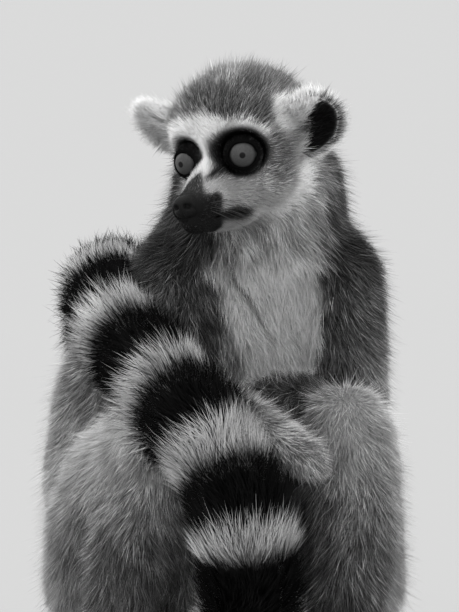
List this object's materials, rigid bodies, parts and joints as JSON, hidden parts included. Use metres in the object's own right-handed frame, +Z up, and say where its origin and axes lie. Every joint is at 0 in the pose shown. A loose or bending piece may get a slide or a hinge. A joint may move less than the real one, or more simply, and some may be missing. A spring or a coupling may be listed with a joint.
{
  "type": "ring-tailed lemur, still life-size model",
  "caption": "Sitting ring-tailed lemur with its knees drawn up, arms crossed over them and its banded tail brought over one shoulder.",
  "frame": {"origin": "the middle of the seat, on the floor", "axes": "+Z up from the floor, -Y the way the animal faces, +X its own left"},
  "size_m": [0.1905, 0.3082, 0.3218],
  "materials": {
    "coat_grey": "dense woolly grey fur, flecked light and dark",
    "coat_head": "short fur, white with a dark cap, black eye patches and a black muzzle",
    "coat_pale": "white to pale grey fur",
    "coat_tail": "long fur in black and white bands",
    "eye": "wet clear eye with a pale iris and a small pupil",
    "bare_skin": "black bare skin, slightly moist"
  },
  "bodies": {
    "root": {"eye_left": "eye", "eye_right": "eye", "nose": "bare_skin", "head": "coat_head", "jaw": "coat_head", "neck": "coat_pale", "trunk": "coat_grey", "upper_arm_left": "coat_grey", "forearm_left": "coat_grey", "thigh_left": "coat_grey", "shin_left": "coat_grey", "hand_left": "coat_pale", "foot_left": "coat_pale", "ear_left": "coat_pale", "upper_arm_right": "coat_grey", "forearm_right": "coat_grey", "thigh_right": "coat_grey", "shin_right": "coat_grey", "hand_right": "coat_pale", "foot_right": "coat_pale", "ear_right": "coat_pale", "tail_1": "coat_tail", "tail_2": "coat_tail", "tail_3": "coat_tail", "tail_4": "coat_tail", "tail_5": "coat_tail", "tail_6": "coat_tail"}
  },
  "joints": []
}
